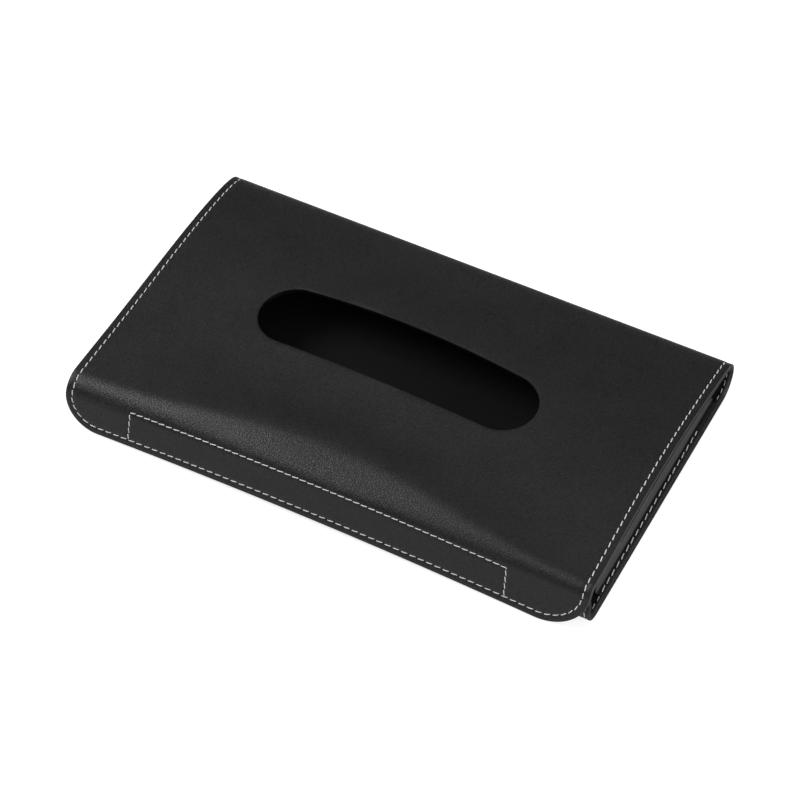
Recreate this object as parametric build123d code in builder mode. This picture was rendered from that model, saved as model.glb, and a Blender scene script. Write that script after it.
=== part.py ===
from build123d import *
import os
from math import asin, cos, degrees, pi, radians, sin

os.makedirs("parts", exist_ok=True)

# A closed wallet for a pack of tissues. Millimetres, +Z up, the origin on the resting plane
# under the middle of the object. The length runs along X, the spine is at +Y, the flap at -Y.

# Overall size
length = 230
depth = 142
front_height = 24
crown_rise = 5.2

# Sheets that the wallet is sewn from
leather = 1.2
lining = 0.8
board = 1.2
foam = 1.2
bond = 0.1
cut_overrun = 5

# Folds
spine_radius = 9.5
fold_radius = 10
fold_gap = 0.3
lip_radius = 8
flap_lean = 12
flap_lift = 0.3
flap_corner = 15
flap_side = 0.5
flap_bow = 1.5
lip_height = 16.5
lip_corner = 6

# Dispensing slot
slot_length = 124
slot_width = 29
slot_bow = 1.5
slot_offset = -2
slot_setback = 2.2
slot_inlay = 1.5

# Back stiffener and the raised lining over it
board_margin = 14
board_spine_margin = 14
board_lip_margin = 6
board_ramp = 1.5
board_slope = 22.5
board_corner = 6

# Closure tapes
tape_length = 158
tape_thickness = 0.9
hook_width = 10
hook_drop = 1.2
loop_width = 7.5
loop_drop = 0.6
tape_corner = 1.5
closure_gap = 0.4

# Elastic bands for the sun visor
strap_width = 25
strap_length = 104
strap_thickness = 1
strap_spacing = 124
strap_corner = 2

# End wings
wing_length = 93
wing_offset = -5.5
wing_height = 6.5
wing_thickness = 0.9
wing_angle = 86
wing_corner = 3
seam_margin = 3
hem_width = 2.4
wing_clearance = 0.3
foam_margin = 1.2

half_length = length / 2
half_depth = depth / 2
base = strap_thickness + bond

# Spine: a round fold whose outermost line is the cover's hinge
spine_y = half_depth - spine_radius
spine_z = base + spine_radius
spine_turn = 50

# Flap: its outer face leans out at the bottom, where it reaches the object's front
flap_tilt = radians(flap_lean)
flap_bottom_z = base + flap_lift
fold_z = base + front_height - fold_radius
flap_drop = (fold_z + fold_radius * sin(flap_tilt) - flap_bottom_z) / cos(flap_tilt)
fold_y = -half_depth + fold_radius * cos(flap_tilt) + flap_drop * sin(flap_tilt)
fold_turn = 45

# Lip: parallel to the flap, inside it by the flap's layers, both tapes and the closure gap
flap_layers = leather + bond + lining
lip_inset = flap_layers + bond + tape_thickness + closure_gap + tape_thickness + bond
lip_centre_z = base + lip_radius
lip_centre_reach = lip_inset + lip_radius + (lip_centre_z - flap_bottom_z) * sin(flap_tilt)
lip_centre_y = -half_depth + lip_centre_reach / cos(flap_tilt)

# The flap's outer face as a plane: X along the flap, Y up it, Z into the object
flap_plane = Plane(
    origin=(0, fold_y - fold_radius * cos(flap_tilt), fold_z + fold_radius * sin(flap_tilt)),
    x_dir=(-1, 0, 0),
    z_dir=(0, cos(flap_tilt), -sin(flap_tilt)),
)

# Outer curve of the cover from the spine to the front fold, set by its control points: places as
# shares of half the depth, heights as shares of the front height, for the flat end and the arched
# end, and the crown between them as shares of its rise
cover_place_shares = (0.63, 0.28, -0.14, -0.5, -0.69)
flat_end_shares = (0.875, 1.125, 0.73, 0.91, 1)
arched_end_shares = (0.75, 1.29, 1.19, 1.08, 1)
crown_shares = (-0.6, 4, -1, 0, 0)
cover_station_shares = (-1, -0.5, 0, 0.5, 1)
spine_lead = 7.5

# Thickness of the foam at the same control points, skived at the spine
foam_shares = (0.2, 0.4, 1, 1, 1, 1, 1, 1)
foam_setback = 10


def back_line(inset):
    """Half of the closed outline of a layer of the back: spine, flat, lip curl and lip."""
    radius = spine_radius - inset
    opening = degrees(asin(fold_gap / 2 / radius))
    spine = CenterArc((spine_y, spine_z), radius, -opening, opening - 90)
    curl = CenterArc((lip_centre_y, lip_centre_z), lip_radius - inset, 270, -90 - flap_lean)
    Line(spine @ 1, curl @ 0)
    rise = base + lip_height - (curl @ 1).Y
    lip = Line(curl @ 1, curl @ 1 + Vector(sin(flap_tilt), cos(flap_tilt)) * rise / cos(flap_tilt))
    return spine @ 0, lip @ 1


def back_section(inset, thickness):
    """Closed section of a layer of the back, seen from the side."""
    with BuildSketch(Plane.YZ.offset(-half_length)) as section:
        with BuildLine():
            outer_start, outer_end = back_line(inset)
            inner_start, inner_end = back_line(inset + thickness)
            Line(outer_start, inner_start)
            Line(outer_end, inner_end)
        make_face()
    return section.sketch


def rounded_panel(plane, size_x, size_y, corner):
    """Flat outline of a board, tape or band, with rounded corners."""
    with BuildSketch(plane) as panel:
        RectangleRounded(size_x, size_y, corner)
    return panel.sketch


def lip_outline():
    """Front view of the back's sheets, with the lip's two free corners rounded."""
    with BuildSketch(Plane.XZ) as outline:
        with Locations((0, base + lip_height / 2)):
            Rectangle(length, lip_height)
        fillet(outline.vertices().group_by(Axis.Y)[-1], lip_corner)
    return outline.sketch


def slot_outline(inlay):
    """Dispensing slot in plan: round ends, straight front side, slightly bowed rear side."""
    radius = slot_width / 2
    reach = slot_length / 2 - radius
    with BuildSketch(Plane.XY.offset(base)) as outline:
        with BuildLine(Plane.XY.offset(base).move(Location((slot_offset, slot_setback)))):
            front = Line((-reach, -radius), (reach, -radius))
            rear = ThreePointArc((reach, radius), (0, radius + slot_bow), (-reach, radius))
            ThreePointArc(front @ 1, (reach + radius, 0), rear @ 0)
            ThreePointArc(rear @ 1, (-reach - radius, 0), front @ 0)
        make_face()
        if inlay > 0:
            offset(amount=inlay)
    return outline.sketch


def spine_point(inset):
    """End of the spine's round part on the cover's side, at an inset from the outer face."""
    turn = radians(spine_turn)
    reach = spine_radius - inset
    return Vector(spine_y + reach * cos(turn), spine_z + reach * sin(turn))


def fold_point(inset):
    """Start of the front fold's round part, at an inset from the outer face."""
    return Vector(fold_y, fold_z + fold_radius - inset)


def cover_curve(station, insets):
    """Curve of the cover in (depth, height) at a station, below its outer face by the insets."""
    turn = radians(spine_turn)
    start = spine_point(insets[0])
    points = [start, spine_point(insets[1]) + Vector(-sin(turn), cos(turn)) * spine_lead]
    arch = (station + 1) / 2
    crown = cos(station * pi / 2) ** 2 * crown_rise
    table = zip(cover_place_shares, flat_end_shares, arched_end_shares, crown_shares, insets[2:])
    for place, flat_end, arched_end, crown_share, inset in table:
        height = front_height * (flat_end + (arched_end - flat_end) * arch)
        points.append(Vector(half_depth * place, base + height + crown * crown_share - inset))
    points.append(fold_point(insets[-1]))
    return points


def cover_panel(outer_insets, inner_insets, reach):
    """Lofts one layer of the cover between two sets of insets, from the spine to the fold."""
    sections = []
    for station in cover_station_shares:
        with BuildSketch(Plane.YZ.offset(station * reach)) as section:
            with BuildLine():
                outer = Bezier(*cover_curve(station, outer_insets))
                inner = Bezier(*cover_curve(station, inner_insets))
                Line(outer @ 0, inner @ 0)
                Line(outer @ 1, inner @ 1)
            make_face()
        sections.append(section.sketch)
    return loft(sections)


def arc_strip(centre, radius, thickness, start, turn, reach):
    """Round part of a layer at a fold, along the whole length."""
    with BuildSketch(Plane.YZ.offset(-reach)) as section:
        with BuildLine():
            outer = CenterArc(centre, radius, start, turn)
            inner = CenterArc(centre, radius - thickness, start, turn)
            Line(outer @ 0, inner @ 0)
            Line(outer @ 1, inner @ 1)
        make_face()
    return extrude(section.sketch, amount=2 * reach)


def flap_outline(plane):
    """Front view of the flap below its fold."""
    corner = min(flap_corner, flap_drop - flap_side)
    with BuildSketch(plane) as outline:
        with BuildLine():
            straight = half_length - corner
            Line((half_length, 0), (-half_length, 0))
            Line((-half_length, 0), (-half_length, corner - flap_drop))
            Line((half_length, 0), (half_length, corner - flap_drop))
            left = CenterArc((-straight, corner - flap_drop), corner, 180, 90)
            right = CenterArc((straight, corner - flap_drop), corner, 270, 90)
            ThreePointArc(left @ 1, (0, flap_bow - flap_drop), right @ 0)
        make_face()
    return outline.sketch


# Back, outer skin: the lower half of the spine, the flat back and the lip curled up in front
with BuildPart() as back_leather:
    extrude(back_section(0, leather), amount=length)
    extrude(lip_outline(), amount=depth, both=True, mode=Mode.INTERSECT)

# Back stiffener
board_z = base + leather + bond
board_rear = spine_y - board_spine_margin
board_front = lip_centre_y + board_lip_margin
board_depth = board_rear - board_front
board_middle = (board_rear + board_front) / 2
board_length = length - 2 * board_margin
with BuildPart() as back_board:
    board_plane = Plane.XY.offset(board_z).move(Location((0, board_middle, 0)))
    extrude(rounded_panel(board_plane, board_length, board_depth, board_corner), amount=board)

# Back, inner face: follows the skin and rises over the stiffener
pocket_height = board + bond
with BuildPart() as back_lining:
    extrude(back_section(leather + bond, lining), amount=length)
    tray_length = board_length + 2 * (board_ramp + lining)
    tray_depth = board_depth + 2 * (board_ramp + lining)
    tray = rounded_panel(board_plane, tray_length, tray_depth, board_corner)
    extrude(tray, amount=pocket_height + lining, taper=board_slope)
    pocket_length = board_length + 2 * board_ramp
    pocket_depth = board_depth + 2 * board_ramp
    pocket = rounded_panel(board_plane, pocket_length, pocket_depth, board_corner)
    extrude(pocket, amount=pocket_height, taper=board_slope, mode=Mode.SUBTRACT)
    extrude(lip_outline(), amount=depth, both=True, mode=Mode.INTERSECT)

# Cover: outer skin with the upper half of the spine and half of the front fold
cover_cut = front_height + crown_rise + cut_overrun
curve_points = len(foam_shares)
with BuildPart() as cover_leather:
    add(cover_panel([0] * curve_points, [leather] * curve_points, half_length))
    add(arc_strip((spine_y, spine_z), spine_radius, leather, 0, spine_turn, half_length))
    add(arc_strip((fold_y, fold_z), fold_radius, leather, 90, fold_turn, half_length))
    extrude(slot_outline(0), amount=cover_cut, mode=Mode.SUBTRACT)
    split(bisect_by=Plane.XY.offset(spine_z + fold_gap / 2), keep=Keep.TOP)

# Cover foam: skived thin at the spine, ends before the front fold
foam_outer = leather + bond
foam_insets = [foam_outer] * curve_points
foam_depths = [foam_outer + foam * share for share in foam_shares]
with BuildPart() as cover_foam:
    add(cover_panel(foam_insets, foam_depths, half_length - foam_margin))
    extrude(slot_outline(slot_inlay), amount=cover_cut, mode=Mode.SUBTRACT)
    split(bisect_by=Plane.XZ.offset(-fold_y - foam_setback), keep=Keep.BOTTOM)

# Cover lining: on the skin at the spine, under the foam elsewhere
lining_insets = [inset + bond for inset in foam_depths]
lining_depths = [inset + lining for inset in lining_insets]
with BuildPart() as cover_lining:
    add(cover_panel(lining_insets, lining_depths, half_length))
    lining_radius = spine_radius - lining_insets[0]
    add(arc_strip((spine_y, spine_z), lining_radius, lining, 0, spine_turn, half_length))
    extrude(slot_outline(0), amount=cover_cut, mode=Mode.SUBTRACT)
    split(bisect_by=Plane.XZ.offset(-fold_y - foam_setback), keep=Keep.BOTTOM)
    split(bisect_by=Plane.XY.offset(spine_z + fold_gap / 2), keep=Keep.TOP)

# Flap: outer skin and facing from the other half of the fold down to the bowed, rounded edge
fold_gap_turn = degrees(fold_gap / fold_radius)
flap_start = 90 + fold_turn + fold_gap_turn
flap_turn = 90 - fold_turn - fold_gap_turn - flap_lean

with BuildPart() as flap_leather:
    extrude(flap_outline(flap_plane), amount=leather)
    add(arc_strip((fold_y, fold_z), fold_radius, leather, flap_start, flap_turn, half_length))

facing_inset = leather + bond
with BuildPart() as flap_facing:
    extrude(flap_outline(flap_plane.offset(facing_inset)), amount=lining)
    facing_radius = fold_radius - facing_inset
    add(arc_strip((fold_y, fold_z), facing_radius, lining, flap_start, flap_turn, half_length))

# Closure tapes: hooks inside the flap, loops outside the lip
with BuildPart() as hook_strip:
    hook_plane = flap_plane.offset(flap_layers + bond)
    with BuildSketch(hook_plane):
        with Locations((0, -hook_drop - hook_width / 2)):
            RectangleRounded(tape_length, hook_width, tape_corner)
    extrude(amount=tape_thickness)

lip_top_z = base + lip_height
lip_top = (lip_top_z - flap_plane.origin.Z + lip_inset * sin(flap_tilt)) / cos(flap_tilt)
with BuildPart() as loop_strip:
    loop_plane = flap_plane.offset(lip_inset - bond - tape_thickness)
    with BuildSketch(loop_plane):
        with Locations((0, lip_top - loop_drop - loop_width / 2)):
            RectangleRounded(tape_length, loop_width, tape_corner)
    extrude(amount=tape_thickness)

# End wings: a hem under the side stitches, and a blade that stands on its inner edge and folds
rim_z = base + leather + bond + lining
hem_x = half_length - seam_margin
wing_x = hem_x - (hem_width - wing_thickness) / 2
wing_z = rim_z + bond + wing_thickness + wing_clearance + wing_thickness / 2
lean = radians(wing_angle)

with BuildPart() as right_wing_hem:
    with BuildSketch(Plane.XY.offset(rim_z + bond)):
        with Locations((hem_x, wing_offset)):
            Rectangle(hem_width, wing_length)
    extrude(amount=wing_thickness)

with BuildPart() as right_wing:
    wing_axis = (wing_x, wing_offset, wing_z)
    blade_plane = Plane(origin=wing_axis, x_dir=(0, 1, 0), z_dir=(sin(lean), 0, cos(lean)))
    with BuildSketch(blade_plane) as blade:
        with Locations((0, wing_height / 2)):
            Rectangle(wing_length, wing_height)
        fillet(blade.vertices().group_by(Axis.Y)[-1], wing_corner)
    extrude(amount=wing_thickness / 2, both=True)
    with BuildSketch(Plane.XZ.offset(-wing_offset)):
        with Locations((wing_x, wing_z)):
            Circle(wing_thickness / 2)
    extrude(amount=wing_length / 2, both=True)

with BuildPart() as left_wing_hem:
    mirror(right_wing_hem.part, about=Plane.YZ)

with BuildPart() as left_wing:
    mirror(right_wing.part, about=Plane.YZ)

# Elastic bands across the back, flat against it
with BuildPart() as right_visor_strap:
    band_plane = Plane.XY.move(Location((strap_spacing / 2, 0, 0)))
    extrude(rounded_panel(band_plane, strap_width, strap_length, strap_corner), amount=strap_thickness)

with BuildPart() as left_visor_strap:
    mirror(right_visor_strap.part, about=Plane.YZ)

back_leather.part.label = "back_leather"
back_board.part.label = "back_board"
back_lining.part.label = "back_lining"
loop_strip.part.label = "loop_strip"
left_visor_strap.part.label = "left_visor_strap"
right_visor_strap.part.label = "right_visor_strap"
left_wing_hem.part.label = "left_wing_hem"
right_wing_hem.part.label = "right_wing_hem"
left_wing.part.label = "left_wing"
right_wing.part.label = "right_wing"
cover_leather.part.label = "cover_leather"
cover_foam.part.label = "cover_foam"
cover_lining.part.label = "cover_lining"
flap_leather.part.label = "flap_leather"
flap_facing.part.label = "flap_facing"
hook_strip.part.label = "hook_strip"

export_step(back_leather.part, "parts/back_leather.step")
export_step(back_board.part, "parts/back_board.step")
export_step(back_lining.part, "parts/back_lining.step")
export_step(loop_strip.part, "parts/loop_strip.step")
export_step(left_visor_strap.part, "parts/left_visor_strap.step")
export_step(right_visor_strap.part, "parts/right_visor_strap.step")
export_step(left_wing_hem.part, "parts/left_wing_hem.step")
export_step(right_wing_hem.part, "parts/right_wing_hem.step")
export_step(left_wing.part, "parts/left_wing.step")
export_step(right_wing.part, "parts/right_wing.step")
export_step(cover_leather.part, "parts/cover_leather.step")
export_step(cover_foam.part, "parts/cover_foam.step")
export_step(cover_lining.part, "parts/cover_lining.step")
export_step(flap_leather.part, "parts/flap_leather.step")
export_step(flap_facing.part, "parts/flap_facing.step")
export_step(hook_strip.part, "parts/hook_strip.step")

print("cover hinge at y", half_depth, "z", spine_z)
fold_middle = radians(90 + fold_turn)
hinge_y = fold_y + fold_radius * cos(fold_middle)
hinge_z = fold_z + fold_radius * sin(fold_middle)
print("flap hinge at y", round(hinge_y, 3), "z", round(hinge_z, 3))
print("wing hinges at x", wing_x, "z", wing_z)
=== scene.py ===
import math

import bmesh
import bpy
import numpy as np
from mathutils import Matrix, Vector, geometry


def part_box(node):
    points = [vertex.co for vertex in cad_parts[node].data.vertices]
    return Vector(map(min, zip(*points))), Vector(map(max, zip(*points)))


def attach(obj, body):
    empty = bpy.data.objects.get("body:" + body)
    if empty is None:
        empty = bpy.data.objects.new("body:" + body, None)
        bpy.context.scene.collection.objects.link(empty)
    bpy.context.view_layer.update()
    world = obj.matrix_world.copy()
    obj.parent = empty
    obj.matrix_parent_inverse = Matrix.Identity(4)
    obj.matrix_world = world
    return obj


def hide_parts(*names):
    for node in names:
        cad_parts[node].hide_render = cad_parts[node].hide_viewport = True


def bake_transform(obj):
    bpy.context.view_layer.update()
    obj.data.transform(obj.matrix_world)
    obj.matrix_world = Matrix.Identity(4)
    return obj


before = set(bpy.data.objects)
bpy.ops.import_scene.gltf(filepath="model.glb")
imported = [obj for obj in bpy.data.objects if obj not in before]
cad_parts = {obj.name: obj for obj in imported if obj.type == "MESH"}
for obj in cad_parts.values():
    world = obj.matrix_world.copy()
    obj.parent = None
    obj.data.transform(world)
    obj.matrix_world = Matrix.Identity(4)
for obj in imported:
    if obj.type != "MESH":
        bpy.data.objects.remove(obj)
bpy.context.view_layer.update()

# A closed leather wallet for a pack of tissues. Every size below is in millimetres and the meshes
# are written in metres. The skin is worked out flat, as its pattern was cut: x runs along the
# wallet, w across it, from the lip (negative) over the back and round the spine to the flap.
mm = 0.001

# The photograph's camera
camera_azimuth = 27.712
camera_elevation = 49.262
camera_lens = 125.35
camera_sensor = 36
camera_eye = (341.04, -649.38, 855.0)

# Overall size
half_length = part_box("back_leather")[1].x / mm
half_depth = -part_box("flap_leather")[0].y / mm
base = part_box("back_leather")[0].z / mm
front_height = 24
crown_rise = 5.2

# Sheets
leather = 1.2
lining = 0.8
foam = 1.2
bond = 0.1
board_lift = 1.3
board_fall = 1.8
board_fall_end = 2.4
edge_round = 0.28
bevel_share = 0.4
bevel_shares = ((0.7, 0.3), (1, 1))

# Folds
spine_radius = 9.5
spine_turn = math.radians(50)
spine_lead = 7.5
fold_radius = 10
lip_radius = 8
lip_height = 16.5
lip_corner = 6
lip_inset = 4.5
lip_advance = 1.8
lip_advance_start_share = 0.7
flap_tilt = math.radians(12)
flap_lift = 0.3
flap_corner_left = 14.5
flap_corner_right = 20
flap_bow = 2.05

# Cover's curve: control points as in the solid, for the flat end and the arched end
cover_place_shares = (0.63, 0.28, -0.14, -0.5)
flat_end_shares = (0.875, 1.125, 0.73, 0.91)
arched_end_shares = (0.75, 1.29, 1.19, 1.08)
crown_shares = (-0.6, 4, -1, 0)
foam_shares = (0.2, 0.4, 1, 1, 1, 1, 1, 1)
foam_setback = 10
foam_margin = 1.2
foam_start = 0.6
facing_gap = 0.4

# Front fold: how far it stands over the solid's, all along, towards the right and in the middle,
# how much wider it is in the middle, and how much tighter and lower at its two ends
fold_lift = 0.4
arched_lift = 1.2
middle_lift = 2.2
middle_slack = 0.5
left_tightness = 1
right_tightness = 4.5
left_sag = 3.3
right_sag = 2.4
end_start_share = 0.2
fold_lead = 9

# In the middle the fold first slopes down slowly and turns most at its end
fold_slope = 0.25
fold_slope_share = 0.3
fold_turn_power = 7
fold_sharpness = 0.85

# Dispensing slot
slot_length = 124
slot_width = 29
slot_bow = 1.5
slot_offset = -2
slot_setback = 2.2
slot_inlay = 1.5
slot_skew = 3
slot_skew_power = 1.5
lining_inlay = 1.3

# Seams
cover_margin = 3
back_margin = 2.1
flap_margin = 3.2
closure_reach = 82.8
closure_offset = -2.4
closure_left_splay = 0.35
closure_right_splay = 0.7
closure_height = 17.4
side_pitch = 3.6
closure_pitch = 3.33
back_pitch = 4.3
side_dash = 0.76
closure_dash = 0.86
groove_depth = 0.3
groove_reach = 0.6
turn_rise = 0.5
turn_rise_start, turn_rise_end = 0.2, 0.7
turn_fall = 1.1
turn_fall_start = 0.5
turn_step = 0.35

# Stitches: places along half a stitch, with the thread's thickness and height there as shares
thread_radius = 0.22
thread_flatness = 0.85
thread_sides = 8
stitch_place_shares = np.array([-1, -0.86, -0.45, 0, 0.45, 0.86, 1])
stitch_swell_shares = np.array([0.6, 0.92, 1, 1, 1, 0.92, 0.6])
stitch_height_shares = np.array([-0.7, 0, 0.5, 0.6, 0.5, 0, -0.7])
stitch_tip = 0.12
dash_slant = 0.13
twist_width = 2.2
hole_width = 0.36
hole_overlap = 0.12
hole_rim = 0.05
hole_crown = 0.03
hole_depth = 0.4
hole_sides = 10

# End wings
wing_height = 6.3
wing_taper = 17
wing_taper_share = 0.8
wing_thickness = 0.9
wing_edge_share = 0.75
wing_edge_reach = 0.4
wing_angle = math.radians(86)
wing_corner = 3
wing_shift = 0.1
wing_clearance = 0.3
wing_bend = 0.75
wing_stations = 94
wing_waves = ((0.14, 0.115, 0.6), (0.08, 0.27, 0))
hem_reach = 0.5
hem_ramp = 1.2

# Closure tapes and visor bands
hook_width = 10
hook_drop = 1.2
loop_width = 7.5
loop_drop = 0.6
tape_thickness = 0.9
tape_length = 158
tape_corner = 1.5
strap_thickness = 1
strap_spacing = 124
strap_width = 25
strap_length = 104
strap_corner = 2
rib_pitch = 1.25
rib_depth = 0.12
rib_inner_share = 0.5
box_setback = 9
box_half_length, box_half_width = 9.5, 6
box_pitch = 2.8
box_depth = 0.42
box_reach = 0.8
box_thread_depth = 0.45

# Pattern meshes
fine_step = 0.75
coarse_step = 2.2
station_count = 93
row_step = 0.25
seam_step = 0.25
seam_reach = 0.2
track_step = 0.5
least_gap = 0.3
clear_gap = 0.65
pad_step = coarse_step * 1.5
corner_step = 0.3
strip_row_step = 1.5
line_count = 81
curve_count = 801
search_count = 600
slot_count = 60
closure_count = 61
edge_count = 100
fold_reach = 1
fold_overrun = 4
join_reach = 8
join_steps = (0.4, 0.9, 1.5)

spine_y = half_depth - spine_radius
spine_z = base + spine_radius
fold_z = base + front_height - fold_radius
flap_bottom_z = base + flap_lift
flap_drop = (fold_z + fold_radius * math.sin(flap_tilt) - flap_bottom_z) / math.cos(flap_tilt)
lip_centre_z = base + lip_radius
lip_lean = (lip_centre_z - flap_bottom_z) * math.sin(flap_tilt)
lip_centre_y = -half_depth + (lip_inset + lip_radius + lip_lean) / math.cos(flap_tilt)

# Lengths of the pattern's stretches
spine_run = spine_radius * (spine_turn + math.pi / 2)
flat_run = spine_y - lip_centre_y
curl_run = lip_radius * (math.pi / 2 + flap_tilt)
curl_top_z = lip_centre_z + lip_radius * math.sin(flap_tilt)
lip_run = (base + lip_height - curl_top_z) / math.cos(flap_tilt)
back_run = spine_run + flat_run + curl_run + lip_run


def bezier(controls, t):
    """Values of a Bezier curve at the shares t."""
    order = len(controls) - 1
    terms = [math.comb(order, k) * t**k * (1 - t) ** (order - k) for k in range(order + 1)]
    return sum(term * control for term, control in zip(terms, controls))


def blend_share(value, low, high):
    """A smooth share from 0 at low to 1 at high."""
    share = np.clip((value - low) / (high - low), 0, 1)
    return share * share * (3 - 2 * share)


def unit(vectors):
    """The same directions at length 1."""
    return vectors / np.linalg.norm(vectors, axis=-1, keepdims=True)


def beside(direction):
    """The direction square to another in its plane, on its right."""
    return np.stack([direction[..., 1], -direction[..., 0]], -1)


def lengths(line):
    """The distance along a line from its start to each point."""
    return np.concatenate([[0], np.cumsum(np.linalg.norm(np.diff(line, axis=0), axis=1))])


def places_along(line, distances):
    """Places on a line at distances from its start."""
    run = lengths(line)
    return np.stack([np.interp(distances, run, line[:, k]) for k in range(2)], -1)


def resampled(line, step):
    """The same line with points an even step apart."""
    line = np.asarray(line, float)
    run = lengths(line)[-1]
    return places_along(line, np.linspace(0, run, max(1, round(run / step)) + 1))


def front_bend(radius, top_z, middle):
    """The front fold in (y, z), from its top to the flap: round at the wallet's ends, and sloping
    before it turns by as much as middle says."""
    touch_z = top_z - radius * (1 - math.sin(flap_tilt))
    touch_y = -half_depth + (touch_z - flap_bottom_z) * math.tan(flap_tilt)
    share = np.linspace(0, 1, line_count)
    slope = fold_slope * blend_share(share, 0, fold_slope_share)
    turned = slope + (1 - fold_slope) * share**fold_turn_power
    angles = (math.pi / 2 - flap_tilt) * (share + middle * fold_sharpness * (turned - share))
    steps = np.stack([-np.cos(angles), -np.sin(angles)], 1)
    bend = np.concatenate([[[0, 0]], np.cumsum((steps[1:] + steps[:-1]) / 2, axis=0)])
    bend *= (touch_z - top_z) / bend[-1, 1]
    return bend + (np.array([touch_y, touch_z]) - bend[-1])


def front_line(x):
    """The outer line of the cover and flap at one place along the wallet, in (y, z), and the
    number of its points on the cover: a long curve from the spine, the fold and the flap."""
    station = x / half_length
    arch = (station + 1) / 2
    middle = math.cos(station * math.pi / 2) ** 2
    end = float(blend_share(abs(station), end_start_share, 1))
    sag, tightness = (left_sag, left_tightness) if station < 0 else (right_sag, right_tightness)
    top_z = base + front_height + fold_lift + arch * arched_lift + middle * middle_lift - sag * end
    bend = front_bend(fold_radius + middle_slack * middle - tightness * end, top_z, middle)
    across = np.array([math.cos(spine_turn), math.sin(spine_turn)])
    start = np.array([spine_y, spine_z]) + across * spine_radius
    controls = [start, start + np.array([-across[1], across[0]]) * spine_lead]
    table = zip(cover_place_shares, flat_end_shares, arched_end_shares, crown_shares)
    for place_share, flat_end, arched_end, crown_share in table:
        height = front_height * (flat_end + (arched_end - flat_end) * arch)
        crown = middle * crown_rise * crown_share
        controls.append(np.array([half_depth * place_share, base + height + crown]))
    controls += [bend[0] + (fold_lead, 0), bend[0]]
    cover = bezier(np.array(controls)[:, :, None], np.linspace(0, 1, curve_count)).T
    return np.vstack([cover, bend[1:], [[-half_depth, flap_bottom_z]]]), len(cover)


def front_table():
    """The cover and flap as a grid of points and of normals: places along the wallet by rows that
    are even steps apart in the pattern. Then the pattern's length to the cover's end and in all."""
    xs = np.linspace(-half_length, half_length, station_count)
    run = lengths(front_line(0.0)[0])[-1]
    rows = np.linspace(0, 1, round(run / row_step) + 1)
    grid = np.zeros((len(xs), len(rows), 3))
    ends = []
    for k, x in enumerate(xs):
        line, count = front_line(x)
        length = lengths(line)
        grid[k, :, 0] = x
        grid[k, :, 1:] = places_along(line, rows * length[-1])
        ends.append(length[count - 1] / length[-1] * run)
    normal = unit(np.cross(np.gradient(grid, axis=1), np.gradient(grid, axis=0)))
    return xs, rows * run, grid, normal, min(ends), run


front_xs, front_rows, front_grid, front_normal, cover_run, front_run = front_table()


def looked_up(grid, x, w):
    """Values of a grid between its points."""
    column = np.clip(x / (front_xs[1] - front_xs[0]) + (station_count - 1) / 2, 0, station_count - 1.001)
    row = np.clip(w / (front_rows[1] - front_rows[0]), 0, len(front_rows) - 1.001)
    i, j = column.astype(int), row.astype(int)
    a, b = (column - i)[:, None], (row - j)[:, None]
    low = grid[i, j] * (1 - b) + grid[i, j + 1] * b
    high = grid[i + 1, j] * (1 - b) + grid[i + 1, j + 1] * b
    return low * (1 - a) + high * a


def outer_face(flat):
    """Points and outward normals of the skin's outer face, in millimetres, for pattern places."""
    x, w = flat[..., 0], flat[..., 1]
    point = np.zeros(x.shape + (3,))
    normal = np.zeros(x.shape + (3,))

    def lay(chosen, place_y, place_z, normal_y, normal_z):
        point[chosen, 1] = place_y
        point[chosen, 2] = place_z
        normal[chosen, 1] = normal_y
        normal[chosen, 2] = normal_z

    def bend(chosen, centre_y, centre_z, radius, angle):
        cosine, sine = np.cos(angle), np.sin(angle)
        lay(chosen, centre_y + radius * cosine, centre_z + radius * sine, cosine, sine)

    past_spine = -w - spine_run
    past_flat = past_spine - flat_run
    past_curl = past_flat - curl_run
    spine = (w < 0) & (past_spine <= 0)
    bend(spine, spine_y, spine_z, spine_radius, spine_turn + w[spine] / spine_radius)
    level = (past_spine > 0) & (past_flat <= 0)
    lay(level, spine_y - past_spine[level], base, 0, -1)
    curl = (past_flat > 0) & (past_curl <= 0)
    bend(curl, lip_centre_y, lip_centre_z, lip_radius, -math.pi / 2 - past_flat[curl] / lip_radius)
    lip = past_curl > 0
    lay(lip, lip_centre_y - lip_radius * math.cos(flap_tilt) + past_curl[lip] * math.sin(flap_tilt),
        curl_top_z + past_curl[lip] * math.cos(flap_tilt), -math.cos(flap_tilt), math.sin(flap_tilt))
    forward = lip_advance * blend_share(x / half_length, lip_advance_start_share, 1)
    point[..., 1] -= forward * np.clip(past_spine / flat_run, 0, 1)
    front = w >= 0
    point[front] = looked_up(front_grid, x[front], w[front])
    normal[front] = looked_up(front_normal, x[front], w[front])
    point[..., 0] = x
    return point, unit(normal)


def place(flat, depth):
    """Points at a depth under the skin's outer face, in millimetres."""
    point, normal = outer_face(flat)
    return point - normal * np.asarray(depth)[..., None]


def foam_depth(w):
    """Thickness of the foam under the cover, skived at the spine."""
    return foam * bezier(foam_shares, np.clip(w / cover_run, 0, 1))


def arc(centre, radii, start, end, step=fine_step):
    """Points of an elliptical arc in the pattern; the angles are in degrees."""
    turn = math.radians(end - start)
    count = max(3, round(abs(turn) * max(radii) / step))
    angles = math.radians(start) + turn * np.linspace(0, 1, count + 1)
    return np.stack([centre[0] + radii[0] * np.cos(angles), centre[1] + radii[1] * np.sin(angles)], 1)


def flap_edge(x):
    """The flap's lower edge in the pattern, bowed up in the middle."""
    reach = half_length - np.where(x < 0, flap_corner_left, flap_corner_right)
    return front_run - flap_bow * (1 - np.clip(np.abs(x) / reach, 0, 1) ** 2)


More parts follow.
